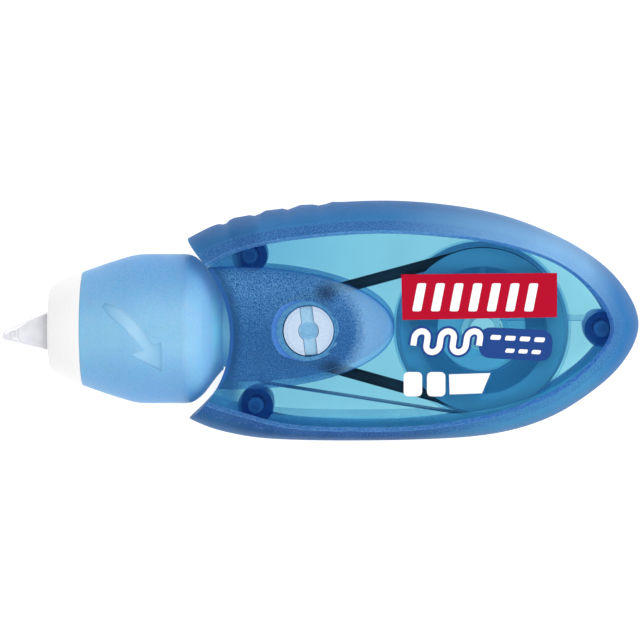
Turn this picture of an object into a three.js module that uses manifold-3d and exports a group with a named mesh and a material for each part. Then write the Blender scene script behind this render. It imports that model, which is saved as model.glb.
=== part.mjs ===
// Correction tape roller with a twist-to-cover nose, as an assembly of separate pieces.
// Millimetres. +X runs from the applicator tip to the tail, +Y across the body, +Z through its thickness.
// The roller lies on its side. The code models it about its middle plane and then lifts it, so that the
// lowest line of the round collar is at Z = 0 and the origin is under the middle of the bounding box.
import * as THREE from "three";
import { mergeVertices } from "three/addons/utils/BufferGeometryUtils.js";
import Module from "manifold-3d";

const wasm = await Module();
wasm.setup();

// ---- Driving dimensions -------------------------------------------------------------------------------
const GAP = 0.3; // between pieces that touch, turn or slide on each other
const NOSE_Y = -1.5; // the nose's axis, in the body's frame
const PARTING = 0.05; // half of the parting line's width

const TAPE_WIDTH = 5;
const TAPE_THICKNESS = 0.2;
const BELT_RADIUS = 0.93;
const BELT_Z = 5.2;

const SUPPLY = { x: 27.45, y: -1.3, core: 7.2, flange: 15, pack: 14.6, belt: 12.95, post: 3.2, bore: 2.2 };
const TAKEUP = { x: -1.7, y: -1.2, core: 4, flange: 9, pack: 4.6, belt: 5.24, post: 2 };

const WALL = 1.5; // side wall of the housing
const PANEL = 1.2; // window panel
const WINDOW_Z = 8.8; // outer face of the window panel, from the middle plane
const RIM_Z = 10; // top of the rim round the window
const RIM_POWER = 2.4; // superellipse power of the rim's rounding
const RIM_FLAT = 0.14; // share of the rim's width that is flat on top
// The raised leaf on each side.
const SHOULDER = { x: -13.6, y: -0.85, long: 26.4, wide: 10.35, high: 3.5, base: 8.5 };
const FRONT = { x: -33, y: -2, r: 18.2, wall: 1.4, turn: 40 }; // concave front that faces the collar's dome
const HORN_TIP = [-22.4, 13.9];
const KNOB_HOLE = { outer: 5.3, inner: 4.55, ledge: 10.95 };

const COLLAR = { front: -40, r: 12.7, bore: 10.3, mouth: 8.5, backWall: -20.2, hole: 6.8 };
const GUARD = { front: -45.9, shoulder: -40.3, rear: -24, outer: 8.2, inner: 6.8, mouth: 5.3, travel: 8.6 };
const PIN = { r: 1, x: -25.5, top: 9.4 };
const CAM = { front: -36, rear: -23.2, outer: 10, slot: 1.3 };
const FRAME = { front: -41.5, rear: -12.1, outer: 6.5, inner: 5.4, key: 5.9, flange: 8.4 };
const TIP = { front: -53.55, cheek: 3.3, web: 2.8, plug: 5.1 };

// Stations round the housing, from the upper horn over the top to the tail and back along the bottom: the
// outline at the parting plane, then the window's border. The last three close the curves inside the nose.
const STATIONS = [
  [[-22.4, 13.9], [-20.4, 8.6]],
  [[-15.3, 17.0], [-14.3, 11.7]],
  [[-3.4, 19.4], [-5.1, 13.8]],
  [[11, 20.3], [9.2, 15.0]],
  [[23.8, 19.3], [21.5, 14.4]],
  [[34, 16.9], [31, 12.9]],
  [[44.2, 12.2], [39.9, 9.8]],
  [[51, 6.4], [46.3, 4.5]],
  [[54, -0.5], [48.8, -0.9]],
  [[51, -7.4], [46.3, -5.6]],
  [[44.2, -13.3], [40.9, -10.3]],
  [[36.8, -17.2], [34.8, -13.3]],
  [[27.5, -19.4], [26.5, -15.8]],
  [[13.6, -20.15], [13.6, -17.5]],
  [[-3.4, -20.2], [-3.4, -17.2]],
  [[-13.6, -19.4], [-12.5, -15.2]],
  [[-22.2, -16.6], [-20, -12.7]],
  [[-34, -9], [-30, -7]],
  [[-37, -1.5], [-33, -1.5]],
  [[-34, 7], [-30, 5]],
];
const ROUND = 60; // points round the housing
// Dips between the finger ridges.
const GRIP_NOTCHES = [[-16.5, 16.55], [-11, 18.0], [-5.3, 19.1], [0.2, 19.85]];
const NOTCH = { r: 1.8, depth: 0.45 };
const BOSSES = [[-11.7, 11.2], [-10.7, -14.1], [47.5, -1.1]]; // where the two shells pin together
const GUIDE_POSTS = [{ x: -9, y: -9.3, r: 1.2, top: 9.8 }, { x: -10.9, y: -6.9, r: 0.8, top: 10.5 }];

// ---- Solids -------------------------------------------------------------------------------------------
function solid(geometry) {
  const bare = new THREE.BufferGeometry().setAttribute("position", geometry.getAttribute("position"));
  if (geometry.index) bare.setIndex(geometry.index);
  const merged = mergeVertices(bare, 1e-4);
  const made = new wasm.Mesh({
    numProp: 3,
    vertProperties: merged.attributes.position.array,
    triVerts: new Uint32Array(merged.index.array),
  });
  return new wasm.Manifold(made);
}

function geometryOf(shape) {
  const mesh = shape.getMesh();
  const geometry = new THREE.BufferGeometry();
  geometry.setAttribute("position", new THREE.BufferAttribute(new Float32Array(mesh.vertProperties), 3));
  geometry.setIndex(new THREE.BufferAttribute(new Uint32Array(mesh.triVerts), 1));
  geometry.computeVertexNormals();
  return geometry;
}

const join = (first, ...rest) => rest.reduce((sum, piece) => sum.add(piece), first);
const cut = (first, ...rest) => rest.reduce((left, piece) => left.subtract(piece), first);

// A profile of [along, radius] points, turned. It starts and ends on the axis, or else it is closed.
function turned(profile, segments, flip) {
  const points = profile.map(([along, radius]) => new THREE.Vector2(radius, flip * along));
  const touchesAxis = points[0].x === 0 && points.at(-1).x === 0;
  if (!touchesAxis) points.push(points[0].clone());
  if (THREE.ShapeUtils.area(points) < 0) points.reverse();
  return new THREE.LatheGeometry(points, segments);
}

// About a line along Z.
function turnedZ(profile, { x, y }, segments = 40) {
  return solid(turned(profile, segments, 1).rotateX(Math.PI / 2).translate(x, y, 0));
}

// About the nose's axis.
function turnedX(profile, segments = 44) {
  return solid(turned(profile, segments, -1).rotateZ(Math.PI / 2).translate(0, NOSE_Y, 0));
}

function tube(place, outer, inner, low, high, segments = 28) {
  return turnedZ([[low, inner], [high, inner], [high, outer], [low, outer]], place, segments);
}

function bar(place, radius, low, high, segments = 24) {
  const cylinder = new THREE.CylinderGeometry(radius, radius, high - low, segments).rotateX(Math.PI / 2);
  return solid(cylinder.translate(place.x, place.y, (low + high) / 2));
}

function block(x0, x1, y0, y1, z0, z1) {
  const box = new THREE.BoxGeometry(x1 - x0, y1 - y0, z1 - z0);
  return solid(box.translate((x0 + x1) / 2, (y0 + y1) / 2, (z0 + z1) / 2));
}

// A plate with a drawn outline, from low to high along Z.
function plate(outline, low, high) {
  const shape = new THREE.Shape(outline.map(([x, y]) => new THREE.Vector2(x, y)));
  const geometry = new THREE.ExtrudeGeometry(shape, { depth: high - low, bevelEnabled: false });
  return solid(geometry.translate(0, 0, low));
}

// A solid through rings of points, each ring at its own height, lowest first.
function loft(rings) {
  const count = rings[0].points.length;
  const positions = rings.flatMap(({ points, z }) => points.flatMap(([x, y]) => [x, y, z]));
  const faces = [];
  for (let level = 0; level + 1 < rings.length; level++) {
    for (let i = 0; i < count; i++) {
      const a = level * count + i;
      const b = level * count + ((i + 1) % count);
      faces.push(a, b, a + count, b, b + count, a + count);
    }
  }
  const outline = (ring) => ring.points.map(([x, y]) => new THREE.Vector2(x, y));
  const top = (rings.length - 1) * count;
  for (const [a, b, c] of THREE.ShapeUtils.triangulateShape(outline(rings[0]), [])) faces.push(a, c, b);
  for (const [a, b, c] of THREE.ShapeUtils.triangulateShape(outline(rings.at(-1)), [])) {
    faces.push(top + a, top + b, top + c);
  }
  const geometry = new THREE.BufferGeometry();
  geometry.setAttribute("position", new THREE.Float32BufferAttribute(positions, 3));
  return solid(geometry.setIndex(faces));
}

// ---- Housing ------------------------------------------------------------------------------------------
function closedCurve(points) {
  const places = points.map(([x, y]) => new THREE.Vector3(x, y, 0));
  return new THREE.CatmullRomCurve3(places, true, "catmullrom", 0.5);
}

// Counter-clockwise pairs of points: the outline and the window's border.
function stationPairs() {
  const outline = closedCurve(STATIONS.map(([outer]) => outer));
  const border = closedCurve(STATIONS.map(([, inner]) => inner));
  const pairs = [];
  for (let i = ROUND; i > 0; i--) {
    const o = outline.getPoint(i / ROUND);
    const w = border.getPoint(i / ROUND);
    pairs.push({ o, w, inward: w.clone().sub(o).normalize() });
  }
  return pairs;
}

// How far in from the outline the rim's rounding has come at a height, as a share of the rim's width.
function rimShare(z) {
  const rise = Math.min(1, z / RIM_Z) ** RIM_POWER;
  return (1 - RIM_FLAT) * (1 - (1 - rise) ** (1 / RIM_POWER));
}

function ring(pairs, z, share, inset) {
  const points = pairs.map(({ o, w, inward }) => {
    const p = o.clone().lerp(w, share).addScaledVector(inward, inset);
    return [p.x, p.y];
  });
  return { points, z };
}

function leaf(margin, base, high) {
  const { x, y, long, wide } = SHOULDER;
  const dome = new THREE.SphereGeometry(1, 36, 12).rotateX(Math.PI / 2);
  dome.scale(long - margin, wide - margin, high).translate(x, y, base);
  return solid(dome);
}

// The concave front: an arc round the collar's dome that runs straight up to the upper horn.
function frontCut(radius) {
  const outline = [];
  for (let angle = -70; angle <= FRONT.turn; angle += 5) {
    const a = THREE.MathUtils.degToRad(angle);
    outline.push([FRONT.x + radius * Math.cos(a), FRONT.y + radius * Math.sin(a)]);
  }
  const [endX, endY] = outline.at(-1);
  const reach = 3;
  const grow = radius - FRONT.r;
  outline.push([endX + reach * (HORN_TIP[0] - endX + grow), endY + reach * (HORN_TIP[1] - endY)]);
  outline.push([-60, 22], [-60, -22], [outline[0][0], -22]);
  return plate(outline, -20, 20);
}

// One half of the housing, on the +Z side of the parting plane.
function halfShell(withKnobHole) {
  const pairs = stationPairs();
  const heights = [0, 0.4, 0.7, 0.88, 1].map((share) => share * RIM_Z);
  const outer = loft([
    ...heights.map((z) => ring(pairs, z === 0 ? PARTING : z, rimShare(z), 0)),
    ring(pairs, RIM_Z + 0.001, 1, 0),
  ]);
  const window = loft([ring(pairs, WINDOW_Z, 1, 0), ring(pairs, RIM_Z + 4, 1, 0)]);
  const ceiling = WINDOW_Z - PANEL;
  const room = loft([-1, 0, 0.45, 0.75, 1].map((share) => {
    const z = share * ceiling;
    return ring(pairs, z, rimShare(Math.max(0, z)), WALL);
  }));
  const above = block(-60, 60, -30, 30, ceiling + 0.4, 20);
  const shoulder = leaf(0, SHOULDER.base, SHOULDER.high).intersect(above);
  const hollow = cut(
    join(room, leaf(1.3, ceiling - 0.2, SHOULDER.base + SHOULDER.high - ceiling - 1.1)),
    frontCut(FRONT.r + FRONT.wall),
    block(-60, 60, -30, 30, -20, -1),
  );
  const notches = GRIP_NOTCHES.map(([x, y]) => {
    const out = new THREE.Vector2(x - 12, y + 60).normalize().multiplyScalar(NOTCH.r - NOTCH.depth);
    return bar({ x: x + out.x, y: y + out.y }, NOTCH.r, -20, 20, 16);
  });
  const doorway = turnedX([[-30, 0], [-30, FRAME.outer + GAP], [-10, FRAME.outer + GAP], [-10, 0]], 28);
  let shell = cut(join(cut(outer, window), shoulder), hollow, frontCut(FRONT.r), ...notches, doorway);
  if (withKnobHole) {
    const counterbore = bar(TAKEUP, KNOB_HOLE.outer, KNOB_HOLE.ledge, 20, 32);
    shell = cut(shell, bar(TAKEUP, KNOB_HOLE.inner, 5, 20, 32), counterbore);
  }
  return shell;
}

const INNER_FACE = WINDOW_Z - PANEL;

function nearShell() {
  const sockets = BOSSES.map(([x, y]) => tube({ x, y }, 3, 1.35, 0.3, INNER_FACE + 0.2, 20));
  const hub = tube(SUPPLY, SUPPLY.post + 1.1, SUPPLY.post + GAP, 7.25, INNER_FACE + 0.2);
  return join(halfShell(true), ...sockets, hub);
}

function farShell() {
  const floor = INNER_FACE + 0.2;
  const posts = BOSSES.flatMap(([x, y]) => [
    bar({ x, y }, 2.7, 0.4, floor, 20),
    bar({ x, y }, 1, -5, 0.5, 16),
  ]);
  const guides = GUIDE_POSTS.map((post) => bar(post, post.r, -2.9, post.top, 16));
  const axle = tube(SUPPLY, SUPPLY.post, SUPPLY.bore, -7.1, floor);
  const takeupAxle = bar(TAKEUP, TAKEUP.post, -6.9, 10.6, 20);
  const rib = block(SUPPLY.x + 3, BOSSES[2][0] - 2, -0.4, 0.6, 5, floor);
  const flipped = join(halfShell(false), ...posts, ...guides, axle, takeupAxle, rib);
  return flipped.mirror([0, 0, 1]);
}

// ---- Reels and drive belt -----------------------------------------------------------------------------
const FLANGE_IN = 2.8; // inner face of each reel flange, from the middle plane
const FLANGE_OUT = 3.4;
const GROOVE = [BELT_Z - BELT_RADIUS - GAP, BELT_Z + BELT_RADIUS + GAP];

function reel({ x, y, core, flange, post }) {
  const bore = post + GAP;
  const profile = [[-FLANGE_OUT, bore], [-FLANGE_OUT, flange], [-FLANGE_IN, flange], [-FLANGE_IN, core]];
  return turnedZ([...profile, [2.7, core], [2.7, bore]], { x, y }, 48);
}

// Tape wound on a reel's core.
function pack(reelSize, segments) {
  const half = TAPE_WIDTH / 2;
  return tube(reelSize, reelSize.pack, reelSize.core + GAP, -half, half, segments);
}

function supplyFlange() {
  return tube(SUPPLY, SUPPLY.flange, SUPPLY.post + GAP, 3, 3.6, 48);
}

function supplyPulley() {
  const bore = SUPPLY.post + GAP;
  const floor = SUPPLY.belt - BELT_RADIUS - GAP;
  const top = 7;
  const low = 3.9;
  const rim = 13.85;
  const groove = [[low, bore], [low, floor], [GROOVE[1], floor], [GROOVE[1], rim]];
  const profile = [...groove, [top, rim], [top, bore]];
  const spokes = [0, 1].map((turn) => {
    const spoke = block(-12, 12, -0.5, 0.5, 4, 9).rotate([0, 0, 90 * turn]);
    return spoke.translate([SUPPLY.x, SUPPLY.y, 0]);
  });
  const pockets = cut(tube(SUPPLY, 10.5, 7.5, 5, 9), ...spokes);
  const step = tube(SUPPLY, 5.4, 4.6, 6.4, 9);
  return cut(turnedZ(profile, SUPPLY, 48), pockets, step);
}

function takeupPulley() {
  const bore = TAKEUP.post + GAP;
  const floor = TAKEUP.belt - BELT_RADIUS - GAP;
  const flange = [[7.2, 0], [7.2, bore], [3, bore], [3, TAKEUP.flange], [3.6, TAKEUP.flange], [3.6, 6.3]];
  const groove = [[GROOVE[0], 6.3], [GROOVE[0], floor], [GROOVE[1], floor], [GROOVE[1], 6.3], [7, 6.3]];
  const spigot = [[7.4, 3.6], [8.9, 3.6], [8.9, 1.4], [10.3, 1.4], [10.3, 0]];
  return turnedZ([...flange, ...groove, ...spigot], TAKEUP, 40);
}

const KNOB_TURN = 6.5; // degrees that the coin slot leans at rest

function rewindKnob() {
  const disc = bar(TAKEUP, 4.25, 9.2, 10.75, 40);
  const turnedSlot = block(-5, 5, -1.1, 1.1, 9, 11).rotate([0, 0, 90 + KNOB_TURN]);
  const slot = turnedSlot.translate([TAKEUP.x, TAKEUP.y, 0]);
  const rings = tube(TAKEUP, 3.9, 3.3, 10.35, 11, 32);
  const bridge = tube(TAKEUP, 4.25, 3.2, 9.2, 9.6, 40);
  return join(cut(disc, slot, bar(TAKEUP, 1.75, 9, 11), rings), bridge);
}

// Where a line runs from one circle to the next. A circle's turn is 1 when the path goes round it
// counter-clockwise and -1 when it goes round clockwise.
function tangent(from, to) {
  const d = new THREE.Vector2(to.x - from.x, to.y - from.y);
  const s0 = from.r * from.turn;
  const s1 = to.r * to.turn;
  const heading = d.angle() - Math.asin((s1 - s0) / d.length());
  const left = new THREE.Vector2(-Math.sin(heading), Math.cos(heading));
  return {
    leave: new THREE.Vector2(from.x, from.y).addScaledVector(left, -s0),
    arrive: new THREE.Vector2(to.x, to.y).addScaledVector(left, -s1),
  };
}

function arcPoints(circle, arrive, leave, step) {
  const start = Math.atan2(arrive.y - circle.y, arrive.x - circle.x);
  let sweep = (Math.atan2(leave.y - circle.y, leave.x - circle.x) - start) * circle.turn;
  sweep = ((sweep % (2 * Math.PI)) + 2 * Math.PI) % (2 * Math.PI);
  const count = Math.max(1, Math.ceil(sweep / step));
  return Array.from({ length: count + 1 }, (_, i) => {
    const a = start + (circle.turn * sweep * i) / count;
    return new THREE.Vector2(circle.x + circle.r * Math.cos(a), circle.y + circle.r * Math.sin(a));
  });
}

// A closed loop round two or more circles.
function beltLoop(circles, step) {
  return circles.flatMap((circle, i) => {
    const before = tangent(circles.at(i - 1), circle);
    const after = tangent(circle, circles[(i + 1) % circles.length]);
    return arcPoints(circle, before.arrive, after.leave, step);
  });
}

function driveBelt() {
  const circles = [SUPPLY, TAKEUP].map(({ x, y, belt }) => ({ x, y, r: belt, turn: 1 }));
  const path = beltLoop(circles, 0.16);
  const sides = 8;
  const positions = [];
  const faces = [];
  path.forEach((p, i) => {
    const next = path[(i + 1) % path.length];
    const before = path.at(i - 1);
    const along = next.clone().sub(before).normalize();
    for (let k = 0; k < sides; k++) {
      const a = (2 * Math.PI * k) / sides;
      const out = BELT_RADIUS * Math.cos(a);
      positions.push(p.x + along.y * out, p.y - along.x * out, BELT_Z + BELT_RADIUS * Math.sin(a));
      const here = i * sides;
      const there = ((i + 1) % path.length) * sides;
      const turn = (k + 1) % sides;
      faces.push(here + k, there + k, here + turn, here + turn, there + k, there + turn);
    }
  });
  const geometry = new THREE.BufferGeometry();
  geometry.setAttribute("position", new THREE.Float32BufferAttribute(positions, 3));
  return solid(geometry.setIndex(faces));
}

// The strip between the two packs: along the bottom, over the guide posts, through the nose, round the
// tip's edge and back over the top to the take-up reel.
function tapeRun() {
  const clear = TAPE_THICKNESS / 2 + 0.15;
  const circles = [
    { x: SUPPLY.x, y: SUPPLY.y, r: SUPPLY.pack + clear, turn: -1 },
    { ...GUIDE_POSTS[0], r: GUIDE_POSTS[0].r + clear, turn: -1 },
    { ...GUIDE_POSTS[1], r: GUIDE_POSTS[1].r + clear, turn: 1 },
    { x: -46.5, y: -3.85, r: 0.9, turn: -1 },
    { x: -53.2, y: -2.55, r: 0.7, turn: -1 },
    { x: -46.5, y: 0.1, r: 0.9, turn: -1 },
    { x: TAKEUP.x, y: TAKEUP.y, r: TAKEUP.pack + clear, turn: -1 },
  ];
  const line = [tangent(circles[0], circles[1]).leave];
  for (let i = 1; i + 1 < circles.length; i++) {
    const { arrive } = tangent(circles[i - 1], circles[i]);
    const { leave } = tangent(circles[i], circles[i + 1]);
    line.push(...arcPoints(circles[i], arrive, leave, 0.45));
  }
  line.push(tangent(circles.at(-2), circles.at(-1)).arrive);
  const side = (sign) => line.map((p, i) => {
    const along = line[Math.min(i + 1, line.length - 1)].clone().sub(line[Math.max(i - 1, 0)]).normalize();
    const out = (sign * TAPE_THICKNESS) / 2;
    return [p.x - along.y * out, p.y + along.x * out];
  });
  return plate([...side(1), ...side(-1).reverse()], -TAPE_WIDTH / 2, TAPE_WIDTH / 2);
}

// ---- Nose ---------------------------------------------------------------------------------------------
function twistCollar() {
  const dome = [[-19.7, 11.2], [-18.4, 9.2], [-17.4, 7.7], [-16.8, COLLAR.hole]];
  const profile = [
    [COLLAR.front, COLLAR.mouth], [COLLAR.front, 9.7], [-39.7, 10], [-32.4, 12.35], [-31.2, 12.62],
    [-30.2, COLLAR.r], [-22.6, COLLAR.r], [-21.4, 12.45], [-20.6, 12], ...dome,
    [COLLAR.backWall, COLLAR.hole], [COLLAR.backWall, COLLAR.bore], [-36.3, COLLAR.bore],
    [-36.3, COLLAR.mouth],
  ];
  const keys = [0, 180].map((side) => {
    const key = block(-33, -22, COLLAR.bore - 0.6, COLLAR.bore + 0.6, -1, 1);
    return key.rotate([side, 0, 0]).translate([0, NOSE_Y, 0]);
  });
  return join(turnedX(profile, 48), ...keys);
}

// A sleeve inside the collar with two helical slots. Half a turn of the collar drives the guard forward.
function camSleeve() {
  const { front, rear, outer } = CAM;
  const profile = [[front, COLLAR.mouth], [front, outer], [rear, outer], [rear, COLLAR.mouth]];
  const slots = [0, Math.PI].map((turn) => helicalCutter(Math.PI / 2 + turn));
  const keyways = [0, 180].map((side) => {
    const way = block(-34, -20, COLLAR.bore - 0.6 - GAP, COLLAR.bore + 1, -1.3, 1.3);
    return way.rotate([side, 0, 0]).translate([0, NOSE_Y, 0]);
  });
  return cut(turnedX(profile), ...slots, ...keyways);
}

function helicalCutter(start) {
  const steps = 18;
  const spare = (PIN.r + GAP) / CAM.outer;
  const radii = [COLLAR.mouth - 1, CAM.outer + 1];
  const positions = [];
  const faces = [];
  for (let i = 0; i <= steps; i++) {
    const turn = -spare + ((Math.PI + 2 * spare) * i) / steps;
    const along = Math.min(Math.PI, Math.max(0, turn)) / Math.PI;
    const x = PIN.x - GUARD.travel * along;
    const angle = start - turn;
    for (const r of radii) {
      for (const side of [-1, 1]) {
        positions.push(x + side * CAM.slot, NOSE_Y + r * Math.cos(angle), r * Math.sin(angle));
      }
    }
    if (i < steps) {
      const a = 4 * i;
      for (const [p, q] of [[0, 1], [1, 3], [3, 2], [2, 0]]) {
        faces.push(a + p, a + p + 4, a + q, a + q, a + p + 4, a + q + 4);
      }
    }
  }
  const last = 4 * steps;
  faces.push(0, 1, 2, 1, 3, 2, last, last + 2, last + 1, last + 1, last + 2, last + 3);
  const geometry = new THREE.BufferGeometry();
  geometry.setAttribute("position", new THREE.Float32BufferAttribute(positions, 3));
  return solid(geometry.setIndex(faces));
}

function noseGuard() {
  const profile = [
    [GUARD.front, GUARD.mouth], [GUARD.front, 6.5], [-45.7, 6.95], [-45.2, 7.4], [-40.6, 9.72],
    [GUARD.shoulder, 9.75], [GUARD.shoulder, GUARD.outer], [GUARD.rear, GUARD.outer],
    [GUARD.rear, GUARD.inner], [-43.4, GUARD.inner], [-44.6, GUARD.mouth],
  ];
  const ribs = [1, -1].map((side) => {
    const from = NOSE_Y + side * (FRAME.key + GAP);
    const to = NOSE_Y + side * (GUARD.inner + 0.5);
    return block(-28, GUARD.rear, Math.min(from, to), Math.max(from, to), -0.8, 0.8);
  });
  const pinHoles = [5, -12].map((low) => bar({ x: PIN.x, y: NOSE_Y }, PIN.r + 0.1, low, low + 7, 16));
  return cut(join(turnedX(profile, 48), ...ribs), ...pinHoles);
}

function guardPin(side) {
  const low = GUARD.inner + 0.1;
  const pin = bar({ x: PIN.x, y: NOSE_Y }, PIN.r - 0.1, low, PIN.top, 16);
  return side > 0 ? pin : pin.mirror([0, 0, 1]);
}

// The fixed tube that the guard slides on and the collar turns on, clamped between the two shells.
function nozzleFrame() {
  const { front, rear, outer, inner, flange } = FRAME;
  const profile = [
    [front, inner], [front, outer], [rear - 1, outer], [rear - 1, flange], [rear, flange], [rear, inner],
  ];
  const grooves = [1, -1].map((side) => {
    const from = NOSE_Y + side * FRAME.key;
    const to = NOSE_Y + side * (outer + 1);
    return block(-39, -22.6, Math.min(from, to), Math.max(from, to), -1.1, 1.1);
  });
  const ringGroove = turnedX([[-21.6, 6], [-21.6, 9], [-20.4, 9], [-20.4, 6]], 36);
  return cut(turnedX(profile, 40), ...grooves, ringGroove);
}

// A snap ring in the frame's groove, which keeps the collar's back wall against the housing.
function collarRetainer() {
  const profile = [[-21.3, 6.3], [-21.3, 8.8], [-20.5, 8.8], [-20.5, 6.3]];
  const mouth = block(-22, -20, NOSE_Y - 1.2, NOSE_Y + 1.2, 0, 12);
  return cut(turnedX(profile, 36), mouth);
}

// The applicator: a thin wedge-shaped web between two cheeks, on a plug that sits in the frame.
function applicatorTip() {
  const web = [
    [TIP.front, -2.75], [-53.1, -2.15], [-52.4, -1.95], [-51, -1.75], [-46, 0.55], [-36.6, 0.2],
    [-36.6, -3.2], [-46, -4.3], [-51, -2.95], [-53, -2.95],
  ];
  const cheek = [
    [-51.6, -1.7], [-51.1, -1.2], [-46, 1.3], [-41, 1.5],
    [-41, -5], [-46, -4.95], [-47.9, -4.4], [-50, -3.75], [-51.3, -2.95], [-51.6, -2.7],
  ];
  const cheeks = [1, -1].map((side) => {
    const z = side * TIP.web;
    const far = side * TIP.cheek;
    return plate(cheek, Math.min(z, far), Math.max(z, far));
  });
  const plugProfile = [[-41.4, 0], [-41.4, TIP.plug], [-37.6, TIP.plug], [-37.6, 0]];
  const channels = [[0.3, 2.2], [-5.4, -3.3]].map(([low, high]) => {
    return block(-46, -36, low, high, -TIP.web, TIP.web);
  });
  const plug = cut(turnedX(plugProfile, 32), ...channels);
  const core = [[-46, 0.45], [-36.6, 0.2], [-36.6, -3.2], [-46, -3.9]];
  return join(plate(web, -TIP.web - 0.1, TIP.web + 0.1), plate(core, -TIP.web, TIP.web), ...cheeks, plug);
}

// ---- Materials ----------------------------------------------------------------------------------------
const plastic = (color, roughness, opacity = 1) =>
  new THREE.MeshStandardMaterial({ color, roughness, metalness: 0, transparent: opacity < 1, opacity });
const shellBlue = plastic(0x3f8fc4, 0.35, 0.6);
const reelBlue = plastic(0x2f7fb0, 0.25, 0.75);
const collarBlue = plastic(0x74b8e6, 0.45);
const white = plastic(0xf6f7fa, 0.4);
const clear = plastic(0xdfe0e6, 0.15, 0.6);
const tapeWhite = plastic(0xf4f4f0, 0.7);
const linerAmber = plastic(0xc9c2ae, 0.5);
const rubber = plastic(0x12161e, 0.6);

// ---- Assembly -----------------------------------------------------------------------------------------
const pieces = [
  ["near_shell", nearShell(), shellBlue],
  ["far_shell", farShell(), shellBlue],
  ["nozzle_frame", nozzleFrame(), reelBlue],
  ["collar_retainer", collarRetainer(), white],
  ["applicator_tip", applicatorTip(), clear],
  ["drive_belt", driveBelt(), rubber],
  ["tape_run", tapeRun(), tapeWhite],
  ["supply_reel", reel(SUPPLY), reelBlue],
  ["supply_flange", supplyFlange(), reelBlue],
  ["supply_pulley", supplyPulley(), reelBlue],
  ["tape_pack", pack(SUPPLY, 48), tapeWhite],
  ["takeup_reel", reel(TAKEUP), reelBlue],
  ["takeup_pulley", takeupPulley(), reelBlue],
  ["liner_pack", pack(TAKEUP, 36), linerAmber],
  ["rewind_knob", rewindKnob(), white],
  ["twist_collar", twistCollar(), collarBlue],
  ["cam_sleeve", camSleeve(), white],
  ["nose_guard", noseGuard(), white],
  ["guard_pin_near", guardPin(1), white],
  ["guard_pin_far", guardPin(-1), white],
];

const roller = new THREE.Group();
for (const [name, shape, material] of pieces) {
  const mesh = new THREE.Mesh(geometryOf(shape), material);
  mesh.name = name;
  roller.add(mesh);
}
roller.position.z = COLLAR.r;

export default roller;
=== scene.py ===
import math

import bmesh
import bpy
import numpy as np
from mathutils import Matrix, Vector


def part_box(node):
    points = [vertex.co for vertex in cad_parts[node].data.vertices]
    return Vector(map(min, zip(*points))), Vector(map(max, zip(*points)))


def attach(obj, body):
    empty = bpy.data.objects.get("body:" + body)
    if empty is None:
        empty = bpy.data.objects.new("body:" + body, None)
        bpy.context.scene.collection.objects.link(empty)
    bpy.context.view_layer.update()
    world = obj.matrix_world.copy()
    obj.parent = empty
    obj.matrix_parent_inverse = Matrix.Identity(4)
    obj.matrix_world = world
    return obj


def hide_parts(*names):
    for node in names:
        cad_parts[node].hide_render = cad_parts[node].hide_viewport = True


# The looks of a twist-nose correction tape roller. Shapes are drawn in millimetres about the roller's
# middle plane, with +X from the tip to the tail, and add_mesh puts them into the CAD's frame in metres.
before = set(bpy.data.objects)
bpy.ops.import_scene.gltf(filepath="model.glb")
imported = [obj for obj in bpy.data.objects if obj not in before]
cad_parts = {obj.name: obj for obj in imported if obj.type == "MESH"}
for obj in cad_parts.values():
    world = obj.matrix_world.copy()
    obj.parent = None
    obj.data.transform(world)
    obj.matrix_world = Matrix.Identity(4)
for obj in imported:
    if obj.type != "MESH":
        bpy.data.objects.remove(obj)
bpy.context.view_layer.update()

MM = 0.001


def centre_of(node):
    low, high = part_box(node)
    return (low + high) / 2


MID_Z = centre_of("twist_collar").z
NOSE_Y = centre_of("twist_collar").y / MM
COLLAR_R = (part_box("twist_collar")[1].z - MID_Z) / MM
SUPPLY = tuple(centre_of("supply_flange").xy / MM)
TAKEUP = tuple(centre_of("liner_pack").xy / MM)

# ---- Driving dimensions, in millimetres ----
GAP = 0.3  # between pieces that touch, turn or slide on each other
WALL = 1.5  # side wall of the housing
PANEL = 1.2  # window panel
WINDOW_Z = 8.8  # outer face of the window panel, from the middle plane
RIM_Z = 10.0  # top of the rim round the window
RIM_POWER = 2.4  # superellipse power of the rim's rounding
RIM_FLAT = 0.94  # share of the rim's width that its rounding takes up
LIP = 0.6  # width of the slope from the rim down to the window
CORNER = 2.4  # rounding of the inside, between wall and window
PARTING = 0.05  # half of the parting line's width
INNER_Z = WINDOW_Z - PANEL
FRONT = {"x": -33.0, "y": -2.0, "r": 18.2, "wall": 1.4, "turn": 40}
HORN_TIP = (-22.4, 13.9)
LEAF = {"x": -13.6, "y": -0.85, "long": 26.4, "wide": 10.35, "high": 3.5, "base": 8.5}
KNOB_HOLE = {"inner": 4.36, "ledge": 10.95, "shift": -0.35}
BELT_Z = 5.2
BELT_R = 0.93  # radius of the round belt itself
GROOVE = (BELT_Z - BELT_R - GAP, BELT_Z + BELT_R + GAP)
SUPPLY_REEL = {"core": 7.2, "flange": 15.0, "pack": 14.6, "post": 3.2, "belt": 12.95}
TAKEUP_REEL = {"core": 4.0, "flange": 9.0, "pack": 4.6, "post": 2.0, "belt": 5.24}
FLANGE_IN = 2.8  # inner face of each reel flange, from the middle plane
FLANGE_OUT = 3.4
KNOB_R = 4.2
SLOT_LEAN = 96.5  # degrees between the knob's coin slot and the X axis
ARROW_DEPTH = 0.22
TAPE_WIDTH = 5.0
BOSSES = [(-11.7, 11.2), (-10.7, -14.1), (47.5, -1.1)]  # where the two shells pin together
BOSS_R = 3.0
BOSS_BORE = 1.35
GUIDE_POSTS = [(-9.0, -9.3, 1.2, 9.8), (-10.9, -6.9, 0.8, 10.5)]  # x, y, radius, top
FRAME_R = 6.8  # opening for the nozzle frame

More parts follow.
